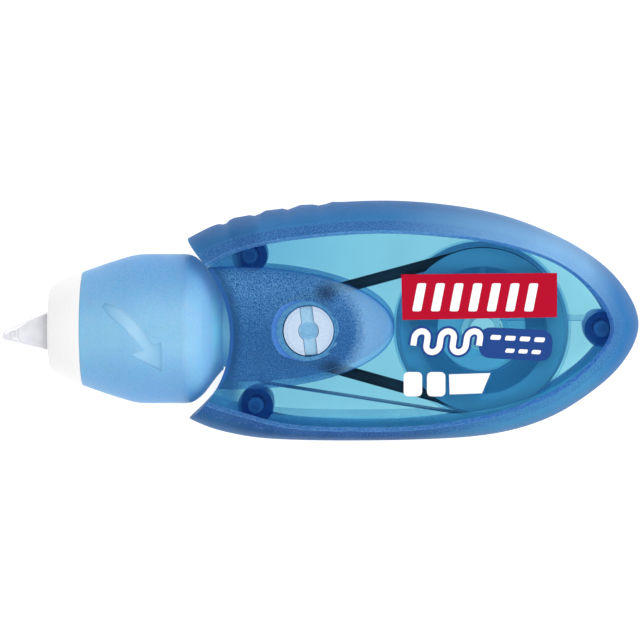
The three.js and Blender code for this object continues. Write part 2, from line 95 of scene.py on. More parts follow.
# Stations round the housing: the outline at the parting plane, then the window's border.
STATIONS = [
    ((-22.4, 13.9), (-20.4, 8.6)),
    ((-15.3, 17.0), (-14.3, 11.7)),
    ((-3.4, 19.4), (-5.1, 13.8)),
    ((11, 20.3), (9.2, 15.0)),
    ((23.8, 19.3), (21.5, 14.4)),
    ((34, 16.9), (31, 12.9)),
    ((44.2, 12.2), (39.9, 9.8)),
    ((51, 6.4), (46.3, 4.5)),
    ((54, -0.5), (48.8, -0.9)),
    ((51, -7.4), (46.3, -5.6)),
    ((44.2, -13.3), (40.9, -10.3)),
    ((36.8, -17.2), (34.8, -13.3)),
    ((27.5, -19.4), (26.5, -15.8)),
    ((13.6, -20.15), (13.6, -17.5)),
    ((-3.4, -20.2), (-3.4, -17.2)),
    ((-13.6, -19.4), (-12.5, -15.2)),
    ((-22.2, -16.6), (-20, -12.7)),
    ((-34, -9), (-30, -7)),
    ((-37, -1.5), (-33, -1.5)),
    ((-34, 7), (-30, 5)),
]
ROUND = 260  # points round the housing
GRIP_NOTCHES = [-16.3, -10.8, -5.1, 0.3]  # dips between the finger ridges, along X


# ---- Meshes ----
def new_object(name, data):
    obj = bpy.data.objects.new(name, data)
    bpy.context.scene.collection.objects.link(obj)
    return obj


def add_mesh(name, points, faces):
    mesh = bpy.data.meshes.new(name)
    placed = [(x * MM, y * MM, z * MM + MID_Z) for x, y, z in points]
    mesh.from_pydata(placed, [], [tuple(int(i) for i in face) for face in faces])
    work = bmesh.new()
    work.from_mesh(mesh)
    bmesh.ops.remove_doubles(work, verts=work.verts, dist=1e-7)
    bmesh.ops.recalc_face_normals(work, faces=work.faces)
    work.to_mesh(mesh)
    work.free()
    return new_object(name, mesh)


def combine(target, tool, operation):
    modifier = target.modifiers.new("combine", "BOOLEAN")
    modifier.operation = operation
    modifier.solver = "MANIFOLD"
    modifier.object = tool
    graph = bpy.context.evaluated_depsgraph_get()
    mesh = bpy.data.meshes.new_from_object(target.evaluated_get(graph))
    target.modifiers.clear()
    target.data = mesh
    bpy.data.objects.remove(tool)
    return target


def joined(target, *tools):
    for tool in tools:
        combine(target, tool, "UNION")
    return target


def cut(target, *tools):
    for tool in tools:
        combine(target, tool, "DIFFERENCE")
    return target


def softened(points, size, steps=3):
    """The closed outline with each corner rounded off, except corners on the axis."""
    out = []
    count = len(points)
    for i, point in enumerate(points):
        if point[1] == 0:
            out.append(point)
            continue
        here = np.array(point, float)
        ends = []
        for other in (points[i - 1], points[(i + 1) % count]):
            away = np.array(other, float) - here
            length = np.linalg.norm(away)
            ends.append(here + away / length * min(size, 0.4 * length))
        for k in range(steps + 1):
            t = k / steps
            out.append(tuple((1 - t) ** 2 * ends[0] + 2 * t * (1 - t) * here + t * t * ends[1]))
    return out


def grid_faces(rows, columns, closed):
    """Faces between rows of points. Each row is a loop, and closed joins the last row to the first."""
    faces = []
    for row in range(rows if closed else rows - 1):
        here, ahead = row * columns, (row + 1) % rows * columns
        for i in range(columns):
            turn = (i + 1) % columns
            faces.append((here + i, here + turn, ahead + turn, ahead + i))
    return faces


def turned(name, profile, place, segments):
    """A closed profile of (along, radius), turned. place makes a point from along, across and up."""
    count = len(profile)
    points = []
    for j in range(segments):
        angle = 2 * math.pi * j / segments
        points += [place(a, r * math.cos(angle), r * math.sin(angle)) for a, r in profile]
    on_axis = {i for i in range(count) if profile[i][1] == 0 and profile[(i + 1) % count][1] == 0}
    faces = [face for face in grid_faces(segments, count, True) if face[0] % count not in on_axis]
    return add_mesh(name, points, faces)


def turned_z(name, profile, centre, soft=0.12, segments=128):
    shape = softened(profile, soft) if soft else profile
    return turned(name, shape, lambda a, u, v: (centre[0] + u, centre[1] + v, a), segments)


def turned_x(name, profile, soft=0.15, segments=144):
    shape = softened(profile, soft) if soft else profile
    return turned(name, shape, lambda a, u, v: (a, NOSE_Y + u, v), segments)


def tube(name, centre, outer, inner, low, high, soft=0.1, segments=96):
    profile = [(low, inner), (high, inner), (high, outer), (low, outer)]
    return turned_z(name, profile, centre, soft, segments)


def bar(name, centre, radius, low, high, soft=0.0, segments=64):
    return tube(name, centre, radius, 0, low, high, soft, segments)


def loft(name, rings):
    """A solid through rings of (x, y, z) points, with flat ends."""
    count = len(rings[0])
    points = [point for ring in rings for point in ring]
    faces = grid_faces(len(rings), count, False)
    faces += [range(count), range(len(points) - count, len(points))]
    return add_mesh(name, points, faces)


def left_of(steps):
    """Unit directions to the left of each step."""
    unit = steps / np.linalg.norm(steps, axis=1, keepdims=True)
    return np.stack([-unit[:, 1], unit[:, 0]], axis=1)


def inset(outline, distance):
    """The outline moved inwards by a small distance. It runs counter-clockwise."""
    pts = np.array(outline, float)
    before = left_of(pts - np.roll(pts, 1, axis=0))
    middle = before + left_of(np.roll(pts, -1, axis=0) - pts)
    middle /= np.linalg.norm(middle, axis=1, keepdims=True)
    stretch = np.clip((middle * before).sum(1, keepdims=True), 0.4, 1)
    return pts + middle * distance / stretch


def plate(name, outline, low, high, soft=0.0):
    """An upright plate with a counter-clockwise outline, with its two faces' edges rounded."""
    levels = [(low, 0.0), (high, 0.0)]
    if soft:
        levels = [(low, soft), (low + 0.3 * soft, 0.3 * soft), (low + soft, 0)]
        levels += [(high - soft, 0), (high - 0.3 * soft, 0.3 * soft), (high, soft)]
    rings = []
    for z, distance in levels:
        flat = inset(outline, distance) if distance else np.array(outline, float)
        rings.append([(x, y, z) for x, y in flat])
    return loft(name, rings)


def on_circle(x, y, radius, degrees):
    a = math.radians(degrees)
    return (x + radius * math.cos(a), y + radius * math.sin(a))


def turn_outline(outline, centre, degrees):
    a = math.radians(degrees)
    turn = np.array([(math.cos(a), math.sin(a)), (-math.sin(a), math.cos(a))])
    return (np.array(outline) - centre) @ turn + centre


def block(name, x0, x1, y0, y1, z0, z1, centre=(0, 0), degrees=0):
    """A block, turned about an upright line."""
    corners = [(x0, y0), (x1, y0), (x1, y1), (x0, y1)]
    return plate(name, turn_outline(corners, centre, degrees), z0, z1)


def flip_over(obj):
    """Mirrors a mesh in the roller's middle plane."""
    for vertex in obj.data.vertices:
        vertex.co.z = 2 * MID_Z - vertex.co.z
    obj.data.flip_normals()
    return obj


def smooth(obj, angle=32):
    obj.data.shade_smooth()
    obj.data.set_sharp_from_angle(angle=math.radians(angle))
    return obj


# ---- Materials ----
class Look:
    """A material's nodes, with short ways to add the ones that are used here."""

    def __init__(self, name):
        self.material = bpy.data.materials.new(name)
        self.material.use_nodes = True
        self.nodes = self.material.node_tree.nodes
        self.links = self.material.node_tree.links
        self.nodes.clear()

    def put(self, socket, value):
        if isinstance(value, bpy.types.NodeSocket):
            self.links.new(value, socket)
        elif isinstance(value, tuple) and len(value) == 3 and socket.type == "RGBA":
            socket.default_value = (*value, 1)
        else:
            socket.default_value = value

    def node(self, kind, inputs, output=0, **settings):
        node = self.nodes.new(kind)
        for key, value in settings.items():
            setattr(node, key, value)
        for key, value in inputs.items():
            self.put(node.inputs[key], value)
        return node.outputs[output]

    def place(self):
        return self.node("ShaderNodeTexCoord", {}, "Object")

    def noise(self, size_mm, detail=2.0, roughness=0.5, place=None):
        inputs = {"Scale": 1 / (size_mm * MM), "Detail": detail, "Roughness": roughness}
        inputs["Vector"] = self.place() if place is None else place
        return self.node("ShaderNodeTexNoise", inputs, "Fac")

    def spread(self, value, low, high, to_low, to_high):
        inputs = {"Value": value, "From Min": low, "From Max": high, "To Min": to_low, "To Max": to_high}
        return self.node("ShaderNodeMapRange", inputs, "Result")

    def maths(self, operation, a, b=0.0):
        return self.node("ShaderNodeMath", {0: a, 1: b}, operation=operation)

    def apart(self, value, other):
        return self.maths("ABSOLUTE", self.maths("SUBTRACT", value, other))

    def blend(self, share, first, second):
        return self.node("ShaderNodeMix", {0: share, 6: first, 7: second}, 2, data_type="RGBA")

    def bump(self, height, depth_mm, strength):
        inputs = {"Height": height, "Distance": depth_mm * MM, "Strength": strength}
        return self.node("ShaderNodeBump", inputs, "Normal")

    def mix(self, share, first, second):
        return self.node("ShaderNodeMixShader", {0: share, 1: first, 2: second})

    def solid(self, colour, roughness, normal=None, **more):
        inputs = {"Base Color": colour, "Roughness": roughness}
        inputs.update({key.replace("_", " "): value for key, value in more.items()})
        if normal is not None:
            inputs["Normal"] = normal
        return self.node("ShaderNodeBsdfPrincipled", inputs)

    def clear(self, tint):
        """Light that goes straight through, tinted."""
        return self.node("ShaderNodeBsdfTransparent", {"Color": tint})

    def dyed(self, base, colour, share, *others):
        """The base with a colour blended in, as far as the product of the shares."""
        for other in others:
            share = self.product(share, other)
        return self.blend(share, base, colour)

    def vector(self, operation, other):
        """The place in the object, changed by another vector."""
        return self.node("ShaderNodeVectorMath", {0: self.place(), 1: other}, operation=operation)

    def axis(self, name):
        return self.node("ShaderNodeSeparateXYZ", {"Vector": self.place()}, name)

    def across(self, axis, start, end):
        """Runs from 0 to 1 along an axis between two places, in millimetres."""
        return self.spread(self.axis(axis), start * MM, end * MM, 0, 1)

    def height(self, low, high):
        """Runs from 0 to 1 between two distances from the middle plane, in millimetres."""
        return self.spread(self.apart(self.axis("Z"), MID_Z), low * MM, high * MM, 0, 1)

    def distance(self, x_mm, y_mm):
        """Metres from an upright line."""
        flat = self.vector("MULTIPLY", (1, 1, 0))
        centre = (x_mm * MM, y_mm * MM, 0)
        return self.node("ShaderNodeVectorMath", {0: flat, 1: centre}, "Value", operation="DISTANCE")

    def near(self, x_mm, y_mm, inner, outer):
        """1 inside a circle about an upright line and 0 outside, fading between two radii."""
        return self.spread(self.distance(x_mm, y_mm), inner * MM, outer * MM, 1, 0)

    def bar_mark(self, x_mm, half_mm):
        """1 in a thin upright band across X."""
        away = self.apart(self.axis("X"), x_mm * MM)
        return self.spread(away, 0.5 * half_mm * MM, half_mm * MM, 1, 0)

    def product(self, a, b):
        return self.maths("MULTIPLY", a, b)

    def patches(self, size_mm, low, high, edge=0.3, detail=2.0):
        """Soft patches that run between two values."""
        return self.spread(self.noise(size_mm, detail), edge, 1 - edge, low, high)

    def flecks(self, size_mm, low=0.36, high=0.64):
        """Sharp light grains, 0 to 1."""
        return self.spread(self.noise(size_mm, 3, 0.7), low, high, 0, 1)

    def finish(self, shader):
        output = self.nodes.new("ShaderNodeOutputMaterial")
        self.links.new(shader, output.inputs["Surface"])
        return self.material


MATT = {"Specular_IOR_Level": 0.2}


def darker(colour, share):
    return tuple(channel * share for channel in colour)


def clear_plastic(name, tint, body, clarity, roughness, sheen, ends=None):
    """Polished see-through plastic: tint is what one face lets through, and ends is the tint at the tail."""
    look = Look(name)
    if ends:
        # Painted shade: the tint deepens from the tail to the front.
        tint = look.blend(look.across("X", -15, 48), tint, ends)
        # A painted shadow of the rim over the upper front.
        tint = look.dyed(tint, (0.63, 0.85, 0.925), look.across("X", 8, -14), look.across("Y", 2, 12))
    cloud = look.patches(9, -0.015, 0.015)
    share = look.maths("ADD", cloud, clarity)
    if ends:
        # Painted shade: less clear, so deeper, close to the front.
        share = look.product(share, look.spread(look.across("X", -15.6, -12.8), 0, 1, 0.5, 1))
    through = look.clear(tint)
    solid = look.solid(look.blend(look.noise(4), body, darker(body, 0.8)), 0.35, **MATT)
    inner = look.mix(share, solid, through)
    wavy = look.bump(look.noise(14), 0.05, 0.4)
    shine = {"Color": (1, 1, 1), "Roughness": roughness, "Normal": wavy}
    gloss = look.node("ShaderNodeBsdfGlossy", shine)
    fresnel = look.node("ShaderNodeFresnel", {"IOR": sheen, "Normal": wavy})
    return look.finish(look.mix(fresnel, inner, gloss))


def cloudy_plastic(name, front, tail, clarity, tint, roughness=0.35, streak=1.0, fleck=0.25):
    """Half see-through plastic whose colour changes along the roller. streak below 1 draws its grain out."""
    look = Look(name)
    colour = look.blend(look.across("X", -15, 48), front, tail)
    grain = look.noise(0.5, 3.0, 0.6, look.vector("MULTIPLY", (streak, 1, 1)))
    paler = look.blend(look.spread(grain, 0.35, 0.65, 0, fleck), colour, (0.30, 0.58, 0.86))
    solid = look.solid(paler, roughness, look.bump(grain, 0.03, 0.4), **MATT)
    share = look.patches(5, clarity - 0.05, clarity + 0.05)
    return look.finish(look.mix(share, solid, look.clear(tint)))


def frosted_shader(look, colour, grain, rough, share, tint):
    """The eroded finish: a grainy body with some light from behind, and a little seen through it."""
    solid = look.solid(colour, rough, look.bump(grain, 0.05, 0.6), **MATT)
    glow = look.node("ShaderNodeBsdfTranslucent", {"Color": colour})
    return look.mix(share, look.mix(0.3, solid, glow), look.clear(tint))


def frosted_plastic():
    """The rim: painted shade at its sides and bottom, a painted highlight at the upper rear, a painted shadow
    by the upper boss, and speckled beside the window.
    """
    look = Look("frosted_blue")
    # Painted highlight: paler towards the upper rear, where the light falls.
    pale = look.product(look.across("X", 12, 40), look.across("Y", -8, 12))
    base = look.blend(pale, (0.042, 0.225, 0.50), (0.35, 0.66, 0.98))
    # Painted shade along the bottom, deepest towards the front.
    base = look.dyed(base, (0.008, 0.085, 0.26), look.across("Y", -8, -15), look.across("X", 46, 18), 0.9)
    base = look.dyed(base, (0.09, 0.45, 0.74), look.across("Y", 2, -8), look.across("X", 14, 30), 0.6)
    base = look.dyed(base, (0.022, 0.15, 0.36), look.across("X", -10, -18), 0.6)
    # Painted shade down the rim's sides, weaker under the painted highlight.
    sides = look.height(9.3, 6)
    base = look.dyed(base, (0.020, 0.165, 0.44), sides, look.spread(pale, 0, 1, 0.8, 0.3))
    base = look.dyed(base, (0.022, 0.22, 0.56), look.across("X", 45, 50), 0.85)
    boss_shadow = look.near(-12.6, 15, 1.6, 3.0)
    base = look.dyed(base, (0.010, 0.09, 0.28), boss_shadow, 0.4)
    grain = look.flecks(0.2)
    band = look.product(look.height(9.7, 9.85), look.spread(look.across("X", 14, 40), 0, 1, 1, 0.4))
    deep = look.blend(pale, (0.018, 0.10, 0.36), (0.26, 0.56, 0.95))
    speckled = look.dyed(base, deep, grain, band)
    glints = look.flecks(0.21, 0.5, 0.7)
    sparkling = look.dyed(speckled, (0.34, 0.60, 0.95), glints, look.height(9.4, 9.9), 0.35)
    cloud = look.patches(6, 0, 0.15, 0.35)
    cloudy = look.blend(cloud, sparkling, (0.12, 0.34, 0.70))
    share = look.spread(grain, 0, 1, 0.06, 0.16)
    return look.finish(frosted_shader(look, cloudy, grain, 0.42, share, (0.35, 0.66, 0.88)))


def leaf_plastic():
    """The shoulder: deep and grainy over the nozzle, pale at its rear tip, with painted shade along its foot
    and where the belt runs close under it.
    """
    look = Look("shoulder_blue")
    rag = look.spread(look.noise(0.3, 3, 0.7), 0.3, 0.7, -0.7 * MM, 0.7 * MM)
    past_reel = look.spread(look.maths("ADD", look.distance(*TAKEUP), rag), 7.4 * MM, 9.8 * MM, 0, 1)
    along = look.product(past_reel, look.across("X", -3, 4))
    grain = look.flecks(0.2, 0.42, 0.62)
    upper = look.spread(look.across("Y", -2, 6), 0, 1, 0.38, 1)
    deep = look.dyed((0.008, 0.105, 0.33), (0.19, 0.55, 0.95), grain, upper)
    pale = look.dyed((0.20, 0.52, 0.88), (0.62, 0.86, 1.0), grain, 0.6)
    field = look.blend(along, deep, pale)
    smooth_band = look.blend(along, (0.075, 0.26, 0.60), (0.22, 0.52, 0.95))
    shoulder = look.blend(look.height(9.1, 9.6), smooth_band, field)
    # Painted shade along the foot, where the shoulder meets the window.
    foot_painted_shade = look.blend(look.height(9.0, 9.35), (0.030, 0.15, 0.46), shoulder)
    from_front = look.distance(FRONT["x"], FRONT["y"])
    stripe = look.spread(from_front, 19.2 * MM, 20.6 * MM, 0.7, 0)
    edge = look.spread(from_front, 18.7 * MM, 18.9 * MM, 1, 0)
    striped = look.blend(stripe, foot_painted_shade, (0.010, 0.10, 0.28))
    colour = look.blend(edge, striped, (0.03, 0.17, 0.52))
    # Painted dark smudges stand for the belt and its shade where it runs close under the leaf.
    belt = look.maths("MAXIMUM", look.near(1.2, 5.2, 0.2, 2.6), look.near(2.2, -7.6, 0.2, 2.6))
    colour = look.dyed(colour, (0.004, 0.02, 0.07), belt, 0.75)
    clearer = look.spread(look.height(9.0, 10.8), 0, 1, 0.30, 0)
    share = look.maths("ADD", look.spread(grain, 0, 1, 0.18, 0.30), clearer)
    return look.finish(frosted_shader(look, colour, grain, 0.4, share, (0.34, 0.66, 0.90)))


def boss_plastic():
    """The screwless joining bosses: dark blue, with painted shade in the bore and painted highlights as
    lighter rings round the pin and round the edge.
    """
    look = Look("boss_blue")
    nearest = look.distance(*BOSSES[0])
    for x, y in BOSSES[1:]:
        nearest = look.maths("MINIMUM", nearest, look.distance(x, y))

    def ring(radius_mm, inner_mm, outer_mm, strength):
        away = look.apart(nearest, radius_mm * MM)
        return look.spread(away, inner_mm * MM, outer_mm * MM, strength, 0)

    # Painted highlights: lighter rings round the pin and round the boss's edge.
    rings = look.maths("MAXIMUM", ring(1.0, 0.05, 0.3, 0.4), ring(2.7, 0.1, 0.4, 1))
    # Painted shade down the bore.
    core = look.spread(nearest, 1.3 * MM, 1.45 * MM, 1, 0)
    plain = look.blend(core, (0.034, 0.36, 0.88), (0.008, 0.09, 0.32))
    colour = look.dyed(plain, (0.07, 0.36, 0.72), rings, 0.45)
    solid = look.solid(colour, 0.35, look.bump(look.noise(1), 0.02, 0.4), **MATT)
    share = look.patches(2, 0.14, 0.24)
    return look.finish(look.mix(share, solid, look.clear((0.22, 0.52, 0.85))))


def pulley_plastic():
    """The belt pulley: clear inside its groove, and cloudy over the belt."""
    look = Look("pulley_teal")
    groove = look.near(*SUPPLY, 10.6, 10.9)
    cloud = look.blend(look.noise(5), (0.15, 0.42, 0.70), (0.19, 0.48, 0.76))
    solid = look.solid(cloud, 0.2, look.bump(look.noise(6), 0.02, 0.4), **MATT)
    share = look.spread(groove, 0, 1, 0.42, 0.95)
    return look.finish(look.mix(share, solid, look.clear((0.80, 0.93, 0.98))))


def collar_plastic():
    """The collar: painted light along its middle and painted shade at its sides. Its dome and neck are
    painted paler, and the dome has a faint painted glow, standing in for light that reaches it through the
    housing.
    """
    look = Look("collar_blue")
    # Painted shade: deeper towards the collar's sides, paler along its middle.
    side = look.spread(look.apart(look.axis("Y"), NOSE_Y * MM), 2 * MM, 12.5 * MM, 0, 1)
    dome_painted_light = look.across("X", -22.5, -18.5)
    tone = look.blend(side, (0.205, 0.485, 0.71), (0.030, 0.26, 0.60))
    # Painted light: the dome and then the neck are made paler where the housing's horns shade them.
    tone = look.blend(dome_painted_light, tone, (0.29, 0.64, 0.92))
    tone = look.blend(look.across("X", -18.2, -17.6), tone, (0.25, 0.74, 1.0))
    fine = look.noise(0.3, 3, 0.6)
    mottled = look.blend(look.spread(fine, 0.35, 0.65, 0, 0.10), tone, (0.8, 0.92, 1))
    cloudy = look.blend(look.patches(7, 0, 0.10), mottled, (0.12, 0.42, 0.80))
    rough = look.patches(2.5, 0.36, 0.46)
    soft = {"Subsurface_Weight": 0.6, "Subsurface_Scale": 0.004}
    # A faint painted glow on the dome, strongest at its sides, standing in for light that reaches it through
    # the housing.
    lit = look.product(look.spread(dome_painted_light, 0, 1, 0, 0.26), look.spread(side, 0, 1, 0.1, 1.1))
    glow = {"Emission_Color": (0.22, 0.55, 0.85), "Emission_Strength": lit}
    return look.finish(look.solid(cloudy, rough, look.bump(fine, 0.02, 0.6), **soft, **glow))


def arrow_plastic():
    """The arrow's polished floor, with a painted highlight along its middle."""
    look = Look("arrow_floor")
    # Painted highlight: palest along the middle, fading towards the tail and the head.
    tail = look.across("X", -36.4, -31.5)
    head = look.across("X", -25.4, -30.5)
    tone = look.dyed((0.155, 0.40, 0.635), (0.34, 0.60, 0.81), tail, head)
    spots = look.patches(1.2, 0, 0.15, 0.35)
    spotted = look.blend(spots, tone, (0.18, 0.46, 0.74))
    return look.finish(look.solid(spotted, 0.22, look.bump(look.noise(0.8), 0.01, 0.3)))


def strip_plastic():
    """The tape on its carrier: blue under the housing and whitish where it leaves the nose."""
    look = Look("carrier_strip")
    behind_tip = look.across("X", -44, -40)
    tone = look.blend(behind_tip, (0.72, 0.72, 0.76), (0.07, 0.20, 0.47))
    grain = look.noise(0.6, 3)
    worn = look.blend(look.spread(grain, 0.35, 0.65, 0, 0.15), tone, (0.5, 0.6, 0.8))
    solid = look.solid(worn, 0.4, look.bump(grain, 0.01, 0.4))
    share = look.spread(behind_tip, 0, 1, 0.75, 0.05)
    return look.finish(look.mix(share, solid, look.clear((0.93, 0.93, 0.95))))


def tip_plastic():
    """Milky see-through plastic with two thin upright marks behind the edge."""
    look = Look("tip_milky")
    marks = look.maths("MAXIMUM", look.bar_mark(-52.4, 0.12), look.bar_mark(-51.1, 0.12))
    cloud = look.blend(look.noise(2.5), (0.88, 0.88, 0.92), (0.80, 0.80, 0.85))
    colour = look.dyed(cloud, (0.40, 0.40, 0.46), marks, 0.4)
    solid = look.solid(colour, 0.22, look.bump(look.noise(0.6), 0.01, 0.4))
    share = look.patches(3, 0.2, 0.35)
    return look.finish(look.mix(share, solid, look.clear((0.88, 0.88, 0.91))))


def satin(name, colour, shade, roughness, depth_mm):
    """Opaque moulded plastic with a fine texture."""
    look = Look(name)
    tone = look.blend(look.noise(7), colour, shade)
    fine = look.noise(0.5, 3, 0.6)
    mottled = look.blend(look.spread(fine, 0.35, 0.65, 0, 0.12), tone, (1, 1, 1))
    rough = look.patches(2.5, roughness - 0.05, roughness + 0.06)
    return look.finish(look.solid(mottled, rough, look.bump(fine, depth_mm, 0.6)))


def rubber():
    look = Look("belt_rubber")
    tone = look.blend(look.noise(1.5), (0.002, 0.004, 0.010), (0.005, 0.009, 0.018))
    fine = look.bump(look.noise(0.2, 3), 0.02, 0.5)
    return look.finish(look.solid(tone, 0.55, fine, Specular_IOR_Level=0.1))


def ink(name, colour):
    look = Look(name)
    thin = look.patches(0.5, 0, 0.12, 0.3, 3)
    tone = look.blend(thin, colour, darker(colour, 0.75))
    fine = look.bump(look.noise(0.4), 0.004, 0.4)
    return look.finish(look.solid(tone, 0.35, fine, Specular_IOR_Level=0.06))


def wound_tape(name, centre, colour, edge):
    """The side of a roll: thin rings of tape."""
    look = Look(name)
    place = look.vector("SUBTRACT", (centre[0] * MM, centre[1] * MM, 0))
    wave = {"wave_type": "RINGS", "rings_direction": "Z"}
    inputs = {"Vector": place, "Scale": 600.0, "Distortion": 0.6}
    rings = look.node("ShaderNodeTexWave", inputs, "Fac", **wave)
    tone = look.blend(look.spread(rings, 0, 1, 0, 0.35), colour, edge)
    solid = look.solid(tone, 0.6, look.bump(rings, 0.03, 0.3), Specular_IOR_Level=0.1)
    glow = look.node("ShaderNodeBsdfTranslucent", {"Color": tone})
    return look.finish(look.mix(0.3, look.mix(0.4, solid, glow), look.clear((0.5, 0.78, 0.96))))


def paint(obj, *materials):
    obj.data.materials.clear()
    for material in materials:
        obj.data.materials.append(material)
    return obj


def paint_faces(obj, choose):
    """Gives each face the material that choose picks from its middle, in millimetres, and its direction."""
    for face in obj.data.polygons:
        centre = (Vector(face.center) - Vector((0, 0, MID_Z))) / MM
        face.material_index = choose(centre, face.normal)
    return obj


# ---- Housing ----
def closed_curve(points, count):
    pts = np.array(points, float)
    total = len(pts)
    t = np.arange(count) / count * total
    k = np.floor(t).astype(int)
    u = (t - k)[:, None]
    p0, p1, p2, p3 = (pts[(k + shift) % total] for shift in (-1, 0, 1, 2))
    return 0.5 * (2 * p1 + (p2 - p0) * u + (2 * p0 - 5 * p1 + 4 * p2 - p3) * u**2
                  + (3 * p1 - p0 - 3 * p2 + p3) * u**3)


def grip_waves(outline):
    """How far the finger ridges stand above the plain outline: each rises gently and ends in a dip."""
    x = outline[:, 0]
    wave = np.zeros(len(x))
    on_top = (outline[:, 1] > 8) & (x < 8)
    for notch in GRIP_NOTCHES:
        dip = 0.48 * np.exp(-(((x - notch) / 0.75) ** 2))
        step = 0.16 * np.exp(-(((x - notch - 1.6) / 1.1) ** 2))
        wave += np.where(on_top, step - dip, 0)
    return wave


def station_rings(count):
    outline = closed_curve([outer for outer, _ in STATIONS], count)[::-1]
    border = closed_curve([inner for _, inner in STATIONS], count)[::-1]
    inward = border - outline
    inward /= np.linalg.norm(inward, axis=1, keepdims=True)
    return outline, border, inward


def ring_at(rings, z, share, wall=0.0, waves=0.0):
    """A level of the housing: share runs from the outline to the rim's lip, and wall is a step further in."""
    outline, border, inward = rings
    width = np.linalg.norm(border - outline, axis=1, keepdims=True)
    flat = outline + inward * ((width - LIP) * share + wall)
    if waves:
        flat = flat - inward * (grip_waves(outline) * waves)[:, None]
    return [(x, y, z) for x, y in flat]


def rim_share(z):
    rise = min(1.0, z / RIM_Z) ** RIM_POWER
    return RIM_FLAT * (1 - (1 - rise) ** (1 / RIM_POWER))


def outer_body(rings):
    """The outside with its rounded rim, and the window sunk into it behind a sloping lip."""
    levels = []
    steps = 16
    for k in range(steps + 1):
        angle = 0.5 * math.pi * k / steps
        z = RIM_Z * math.sin(angle) ** (2 / RIM_POWER)
        share = RIM_FLAT * (1 - math.cos(angle) ** (2 / RIM_POWER))
        levels.append((max(z, PARTING), share, 0, max(0, 1 - share / 0.6)))
    drop = RIM_Z - WINDOW_Z
    for down, along in ((0, 0), (0.04, 0.15), (0.16, 0.3), (0.85, 0.88), (0.97, 0.97), (1, 1.06)):
        levels.append((RIM_Z - down * drop, 1, along * LIP, 0))
    return loft("outer_body", [ring_at(rings, *level) for level in levels])


def room_inside(rings):
    """The room under one half: upright-ish walls, and a rounded corner up to the window's underside."""
    levels = [(z, rim_share(max(0, z)), WALL) for z in (-1, 0, 1.5, 3, 4.2)]
    for angle in range(0, 91, 15):
        a = math.radians(angle)
        z = INNER_Z - CORNER * (1 - math.sin(a))
        levels.append((z, rim_share(z), WALL + CORNER * (1 - math.cos(a))))
    return loft("room", [ring_at(rings, *level) for level in levels])


def dome(name, margin, base, high):
    """The raised shoulder: half an ellipsoid on its side, longest along the roller."""
    columns, rows = 128, 36
    rings = []
    for row in range(rows):
        level = math.sin(0.5 * math.pi * row / rows)
        wide = math.sqrt(1 - level * level)
        ring = []
        for column in range(columns):
            angle = 2 * math.pi * column / columns
            x = LEAF["x"] + (LEAF["long"] - margin) * wide * math.cos(angle)
            y = LEAF["y"] + (LEAF["wide"] - margin) * wide * math.sin(angle)
            ring.append((x, y, base + high * level))
        rings.append(ring)
    return loft(name, rings)


def front_cutter(radius):
    """The space in front of the housing: round the collar's dome, then straight up to the upper horn."""
    beyond_tip, beyond_side, beyond_face = -60, 22, 20
    reach = 3  # how far past the horn the straight cut runs, as a multiple of its length
    outline = [on_circle(FRONT["x"], FRONT["y"], radius, a) for a in range(-70, FRONT["turn"] + 1, 2)]
    x, y = outline[-1]
    grow = radius - FRONT["r"]
    outline.append((x + reach * (HORN_TIP[0] - x + grow), y + reach * (HORN_TIP[1] - y)))
    outline += [(beyond_tip, beyond_side), (beyond_tip, -beyond_side), (outline[0][0], -beyond_side)]
    return plate("front_cutter", outline, -beyond_face, beyond_face)


def half_shell(name, with_knob_hole):
    rings = station_rings(ROUND)
    shell = outer_body(rings)
    shell.name = name
    raised = dome("raised", 0, LEAF["base"], LEAF["high"])
    inner_high = LEAF["base"] + LEAF["high"] - INNER_Z - 1.1
    hollow = joined(room_inside(rings), dome("inner", 1.3, INNER_Z - 0.2, inner_high))
    cut(hollow, front_cutter(FRONT["r"] + FRONT["wall"]))
    doorway = turned_x("doorway", [(-30, 0), (-30, FRAME_R), (-10, FRAME_R), (-10, 0)], 0, 96)
    joined(shell, raised)
    cut(shell, hollow, front_cutter(FRONT["r"]), doorway)
    if with_knob_hole:
        ledge = KNOB_HOLE["ledge"]
        flare = [(0, 5.0), (0.05, 5.05), (0.25, 5.15), (0.45, 5.4), (0.65, 5.85), (0.85, 6.5), (1.2, 8)]
        slope = [(ledge, 0)] + [(ledge + up, r) for up, r in flare] + [(ledge + 1.2, 0)]
        cut(shell, bar("hole", TAKEUP, KNOB_HOLE["inner"], 5, 20, 0, 96))
        centre = (TAKEUP[0] + KNOB_HOLE["shift"], TAKEUP[1])
        cut(shell, turned_z("countersink", slope, centre, 0, 128))
    return shell


def near_shell(looks):
    shell = half_shell("near_shell_fine", True)
    floor = INNER_Z + 0.2
    for place in BOSSES:
        socket = bar("socket", place, BOSS_R, 0.3, floor)
        joined(shell, cut(socket, bar("bore", place, BOSS_BORE, 0, 6)))
    bore = SUPPLY_REEL["post"] + GAP
    joined(shell, tube("hub", SUPPLY, bore + 0.8, bore, 7.25, floor, 0.1, 96))
    return paint_shell(smooth(shell, 28), looks)


def far_shell(looks):
    shell = half_shell("far_shell_fine", False)
    floor = INNER_Z + 0.2
    for place in BOSSES:
        joined(shell, bar("post", place, BOSS_R - GAP, 0.4, floor), bar("pin", place, 1, -5, 0.5))
    for x, y, radius, top in GUIDE_POSTS:
        joined(shell, bar("guide", (x, y), radius, -2.9, top))
    joined(shell, tube("axle", SUPPLY, SUPPLY_REEL["post"], 2.2, -7.1, floor))
    joined(shell, bar("axle", TAKEUP, TAKEUP_REEL["post"], -6.9, 10.6))
    joined(shell, block("rib", SUPPLY[0] + 3, BOSSES[2][0] - 2, -0.4, 0.6, 5, floor))
    return paint_shell(smooth(flip_over(shell), 28), looks)


SHELL_LOOKS = ("frosted", "leaf", "lip", "ledge", "edge", "window", "corner", "boss", "inside")


